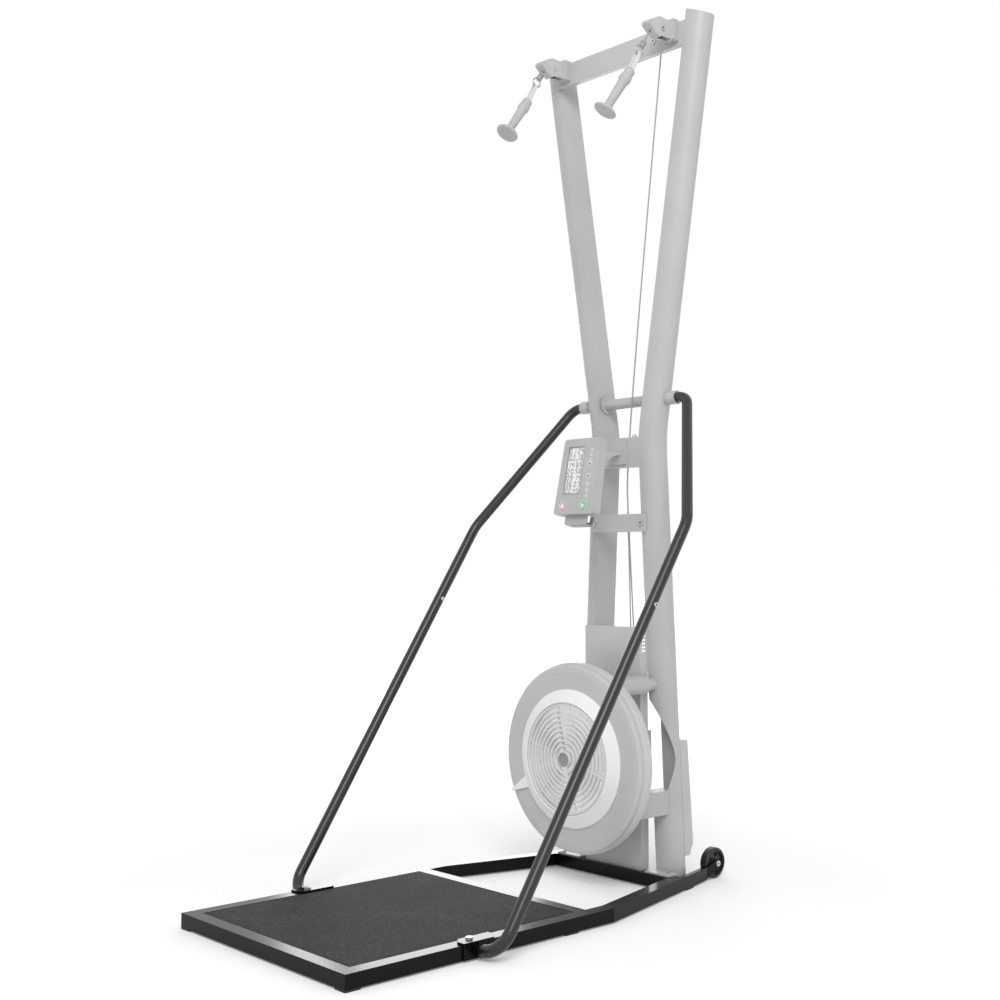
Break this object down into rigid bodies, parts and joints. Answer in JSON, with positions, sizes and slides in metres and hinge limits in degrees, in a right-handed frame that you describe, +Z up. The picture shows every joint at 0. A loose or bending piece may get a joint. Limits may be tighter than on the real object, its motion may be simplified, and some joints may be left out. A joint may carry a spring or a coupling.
{
  "type": "ski trainer machine",
  "caption": "Standing pull trainer: leaning twin-column tower with a floor-level air fan, console and overhead pull handles, on a rubber-topped platform with bent handrails.",
  "frame": {"origin": "centre of the footprint at floor level", "axes": "+Z up, the user's side faces -Y, the tower stands towards +Y, +X to the right of a user facing the tower"},
  "size_m": [0.761, 1.2625, 2.154],
  "materials": {
    "stand_black": "satin",
    "tower_grey": "satin",
    "steel": "satin",
    "rail_black": "satin",
    "board": "matt",
    "mat": "matt",
    "rubber_black": "matt",
    "fan_grey": "satin",
    "damper_white": "gloss",
    "grille_grey": "satin",
    "plastic_grey": "matt",
    "display": "gloss",
    "button_green": "gloss",
    "button_red": "gloss",
    "key_grey": "matt",
    "grip_grey": "matt",
    "webbing": "matt",
    "cord": "matt",
    "rotor_alu": "satin",
    "pulley_plastic": "satin"
  },
  "bodies": {
    "frame": {"front_cross_tube": "stand_black", "middle_cross_tube": "stand_black", "rear_cross_tube": "stand_black", "left_side_rail": "stand_black", "right_side_rail": "stand_black", "tail_plates": "stand_black", "deck_board": "board", "rubber_mat": "mat", "rubber_feet": "rubber_black", "handrail_brackets": "stand_black", "left_handrail_lower": "rail_black", "right_handrail_lower": "rail_black", "left_handrail_upper": "rail_black", "right_handrail_upper": "rail_black", "bolts_and_axles": "steel", "tower_base_plate": "stand_black", "tower_clamps": "tower_grey", "left_column": "tower_grey", "right_column": "tower_grey", "column_stiffeners": "tower_grey", "top_crossbeam": "tower_grey", "pulley_brackets": "tower_grey", "nose_bumpers": "grip_grey", "handrail_cross_tube": "tower_grey", "console_plate": "tower_grey", "lower_crossbar": "tower_grey", "console_arm": "tower_grey", "front_cover": "tower_grey", "drive_box": "plastic_grey", "fan_front_shell": "fan_grey", "fan_rear_shell": "fan_grey", "fan_grille": "grille_grey", "shaft_bearings": "steel", "fan_struts": "tower_grey", "drive_cords": "cord"},
    "flywheel": {"fan_rotor": "rotor_alu", "flywheel_shaft": "steel"},
    "damper": {"damper_ring": "damper_white"},
    "left_cord_end": {"left_swivel": "steel"},
    "right_cord_end": {"right_swivel": "steel"},
    "left_grip": {"left_strap": "webbing", "left_handle": "grip_grey"},
    "right_grip": {"right_strap": "webbing", "right_handle": "grip_grey"},
    "left_nose_pulley": {"left_top_pulley": "pulley_plastic"},
    "right_nose_pulley": {"right_top_pulley": "pulley_plastic"},
    "left_turning_pulley": {"left_turn_pulley": "pulley_plastic"},
    "right_turning_pulley": {"right_turn_pulley": "pulley_plastic"},
    "left_cord_spool": {"left_spool": "pulley_plastic"},
    "right_cord_spool": {"right_spool": "pulley_plastic"},
    "console": {"console_back": "plastic_grey", "console_front": "plastic_grey", "console_lens": "display", "phone_holder": "plastic_grey"},
    "start_key": {"start_button": "button_green"},
    "stop_key": {"stop_button": "button_red"},
    "increase_key": {"up_key": "key_grey"},
    "decrease_key": {"down_key": "key_grey"},
    "left_transport_wheel": {"left_wheel": "rubber_black"},
    "right_transport_wheel": {"right_wheel": "rubber_black"}
  },
  "joints": [
    {"name": "flywheel_spin", "type": "hinge", "parent": "frame", "child": "flywheel", "pos_m": [0, 0.31, 0.311], "axis": [0, 1, 0], "continuous": true},
    {"name": "damper_turn", "type": "hinge", "parent": "frame", "child": "damper", "pos_m": [0, 0.25, 0.311], "axis": [0, 1, 0], "range_deg": [0, 130]},
    {"name": "left_pull", "type": "slide", "parent": "frame", "child": "left_cord_end", "axis": [0, -0.5592, -0.829], "range_m": [0, 1.2]},
    {"name": "right_pull", "type": "slide", "parent": "frame", "child": "right_cord_end", "axis": [0, -0.5592, -0.829], "range_m": [0, 1.2]},
    {"name": "left_handle_swing", "type": "hinge", "parent": "left_cord_end", "child": "left_grip", "pos_m": [-0.188, 0.3255, 2.0525], "axis": [1, 0, 0], "range_deg": [-50, 35]},
    {"name": "right_handle_swing", "type": "hinge", "parent": "right_cord_end", "child": "right_grip", "pos_m": [0.188, 0.30984, 2.02928], "axis": [1, 0, 0], "range_deg": [-50, 35]},
    {"name": "left_nose_pulley_turn", "type": "hinge", "parent": "frame", "child": "left_nose_pulley", "pos_m": [-0.188, 0.38153, 2.10025], "axis": [1, 0, 0], "range_deg": [0, 3500]},
    {"name": "right_nose_pulley_turn", "type": "hinge", "parent": "frame", "child": "right_nose_pulley", "pos_m": [0.188, 0.38153, 2.10025], "axis": [1, 0, 0], "range_deg": [0, 3500]},
    {"name": "left_turning_pulley_turn", "type": "hinge", "parent": "frame", "child": "left_turning_pulley", "pos_m": [0.12574, 0.44558, 2.10225], "axis": [0, 1, 0], "range_deg": [-3900, 0]},
    {"name": "right_turning_pulley_turn", "type": "hinge", "parent": "frame", "child": "right_turning_pulley", "pos_m": [0.15394, 0.45392, 2.10225], "axis": [0, 1, 0], "range_deg": [0, 3900]},
    {"name": "left_spool_turn", "type": "hinge", "parent": "frame", "child": "left_cord_spool", "pos_m": [0, 0.46075, 0.311], "axis": [0, 1, 0], "range_deg": [-3200, 0]},
    {"name": "right_spool_turn", "type": "hinge", "parent": "frame", "child": "right_cord_spool", "pos_m": [0, 0.48475, 0.311], "axis": [0, 1, 0], "range_deg": [-3200, 0]},
    {"name": "console_tilt", "type": "hinge", "parent": "frame", "child": "console", "pos_m": [0, 0.3245, 0.99518], "axis": [1, 0, 0], "range_deg": [-10, 25]},
    {"name": "start_press", "type": "slide", "parent": "console", "child": "start_key", "axis": [0, 0.9816, -0.1908], "range_m": [0, 0.0015], "stiffness_N_per_m": 400, "springref_m": -0.002},
    {"name": "stop_press", "type": "slide", "parent": "console", "child": "stop_key", "axis": [0, 0.9816, -0.1908], "range_m": [0, 0.0015], "stiffness_N_per_m": 400, "springref_m": -0.002},
    {"name": "increase_press", "type": "slide", "parent": "console", "child": "increase_key", "axis": [0, 0.9816, -0.1908], "range_m": [0, 0.0012], "stiffness_N_per_m": 300, "springref_m": -0.002},
    {"name": "decrease_press", "type": "slide", "parent": "console", "child": "decrease_key", "axis": [0, 0.9816, -0.1908], "range_m": [0, 0.0012], "stiffness_N_per_m": 300, "springref_m": -0.002},
    {"name": "left_wheel_roll", "type": "hinge", "parent": "frame", "child": "left_transport_wheel", "pos_m": [-0.1655, 0.59375, 0.0385], "axis": [1, 0, 0], "continuous": true},
    {"name": "right_wheel_roll", "type": "hinge", "parent": "frame", "child": "right_transport_wheel", "pos_m": [0.1655, 0.59375, 0.0385], "axis": [1, 0, 0], "continuous": true}
  ],
  "couplings": [
    {"joint": "left_nose_pulley_turn", "follows": "left_pull", "rad_per_m": 50.633},
    {"joint": "right_nose_pulley_turn", "follows": "right_pull", "rad_per_m": 50.633},
    {"joint": "left_turning_pulley_turn", "follows": "left_pull", "rad_per_m": -56.338},
    {"joint": "right_turning_pulley_turn", "follows": "right_pull", "rad_per_m": 56.338},
    {"joint": "left_spool_turn", "follows": "left_pull", "rad_per_m": -45.977},
    {"joint": "right_spool_turn", "follows": "right_pull", "rad_per_m": -45.977}
  ]
}
